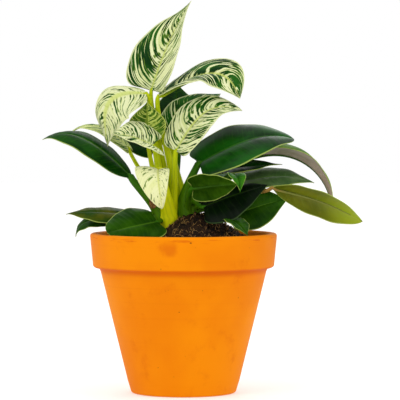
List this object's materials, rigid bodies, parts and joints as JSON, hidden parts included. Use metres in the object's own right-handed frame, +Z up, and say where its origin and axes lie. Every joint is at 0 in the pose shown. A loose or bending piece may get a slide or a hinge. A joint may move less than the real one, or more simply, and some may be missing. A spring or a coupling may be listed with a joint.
{
  "type": "potted philodendron",
  "caption": "Philodendron with cream-striped upper leaves and dark glossy lower leaves, in a round tapered orange clay pot with a broad rim band.",
  "frame": {"origin": "centre of the pot's underside, on the surface it stands on", "axes": "+Z up along the pot's axis; -Y towards the side that is normally looked at; +X to that viewer's right"},
  "size_m": [0.2564, 0.2002, 0.3151],
  "materials": {
    "clay": "matte fired clay",
    "soil": "loose dark potting mix",
    "stem": "fresh, smooth, satin",
    "striped_leaf": "satin leaf, cream stripes on green",
    "cream_leaf": "satin leaf, nearly all cream",
    "green_leaf": "glossy dark leaf",
    "olive_leaf": "satin yellow-green leaf",
    "dried": "dry and papery"
  },
  "bodies": {
    "root": {"pot": "clay", "soil": "soil", "crown_left": "stem", "crown_right": "stem", "blade_top": "striped_leaf", "stalk_top": "stem", "blade_upper_right": "striped_leaf", "stalk_upper_right": "stem", "blade_upper_left": "striped_leaf", "stalk_upper_left": "stem", "blade_mid_left": "striped_leaf", "stalk_mid_left": "stem", "blade_mid_right": "striped_leaf", "stalk_mid_right": "stem", "blade_inner_dark": "striped_leaf", "stalk_inner_dark": "stem", "blade_small_cream": "cream_leaf", "stalk_small_cream": "stem", "blade_inner_pale": "striped_leaf", "stalk_inner_pale": "stem", "blade_left_long": "green_leaf", "stalk_left_long": "stem", "blade_left_arching": "olive_leaf", "stalk_left_arching": "stem", "blade_low_left_outer": "olive_leaf", "stalk_low_left_outer": "stem", "blade_low_left_front": "green_leaf", "stalk_low_left_front": "stem", "blade_low_left_drooping": "green_leaf", "stalk_low_left_drooping": "stem", "blade_right_broad": "green_leaf", "stalk_right_broad": "stem", "blade_right_pointed": "green_leaf", "stalk_right_pointed": "stem", "blade_right_nodding": "green_leaf", "stalk_right_nodding": "stem", "blade_right_front": "green_leaf", "stalk_right_front": "stem", "blade_right_spreading": "green_leaf", "stalk_right_spreading": "stem", "blade_far_right_front": "olive_leaf", "stalk_far_right_front": "stem", "blade_far_right_arching": "green_leaf", "stalk_far_right_arching": "stem", "blade_low_right_shaded": "green_leaf", "stalk_low_right_shaded": "stem", "blade_low_right_outer": "green_leaf", "stalk_low_right_outer": "stem", "blade_low_right_small": "green_leaf", "stalk_low_right_small": "stem", "blade_back_tall": "green_leaf", "stalk_back_tall": "stem", "blade_back_left": "green_leaf", "stalk_back_left": "stem", "blade_back_right": "green_leaf", "stalk_back_right": "stem", "blade_back_low": "green_leaf", "stalk_back_low": "stem", "dried_sheath": "dried", "aerial_root": "dried"}
  },
  "joints": []
}
